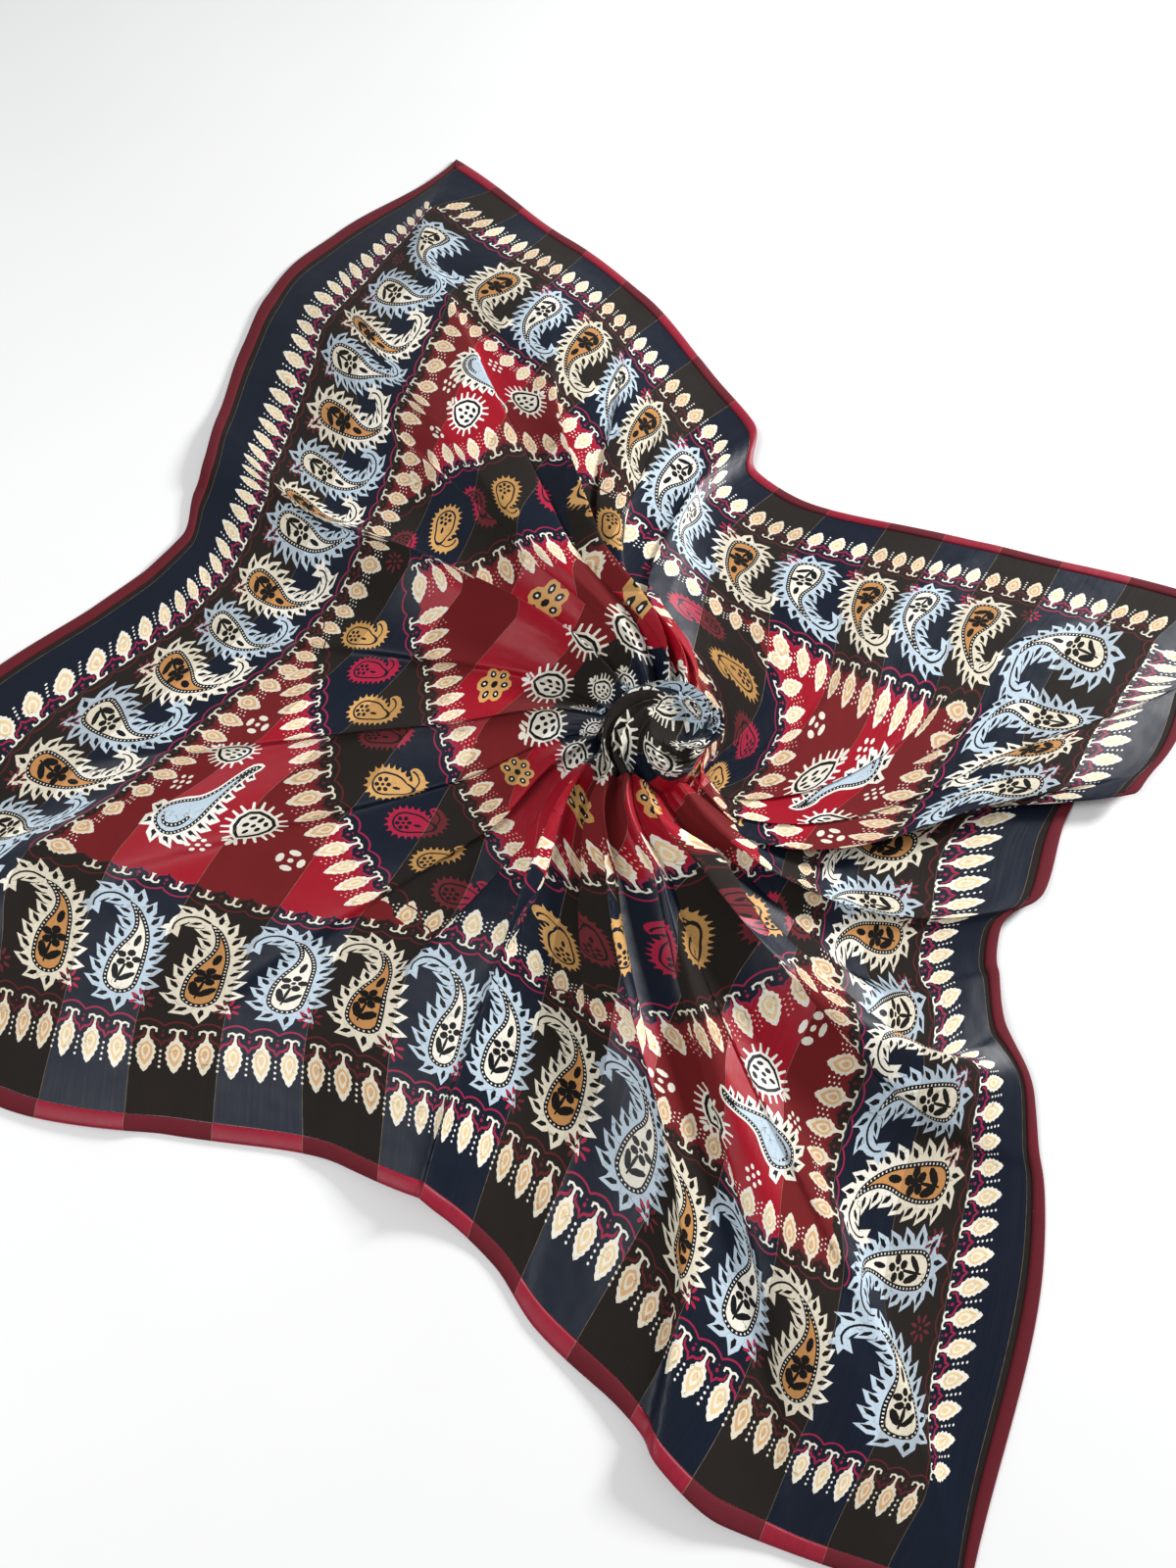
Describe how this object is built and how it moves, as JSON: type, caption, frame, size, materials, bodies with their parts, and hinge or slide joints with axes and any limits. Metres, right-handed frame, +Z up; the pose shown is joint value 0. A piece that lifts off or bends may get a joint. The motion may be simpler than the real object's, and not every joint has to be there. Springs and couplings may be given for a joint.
{
  "type": "square scarf",
  "caption": "Large square silk scarf with a paisley shawl print and rolled red hems, laid on a table with its middle gathered and twisted into a knot of folds.",
  "frame": {"origin": "middle of the scarf's footprint, on the table it lies on", "axes": "+Z up from the table, +Y towards the far tip of the scarf, +X to the right as the picture shows it"},
  "size_m": [1.1897, 1.3146, 0.068],
  "materials": {
    "printed_silk": "satin and matte stripes, printed",
    "printed_silk_twist": "satin and matte stripes, printed",
    "rolled_hem": "rolled satin"
  },
  "bodies": {
    "root": {"panel": "printed_silk", "twist": "printed_silk_twist", "hem_far": "rolled_hem", "hem_right": "rolled_hem", "hem_near": "rolled_hem", "hem_left": "rolled_hem"}
  },
  "joints": []
}
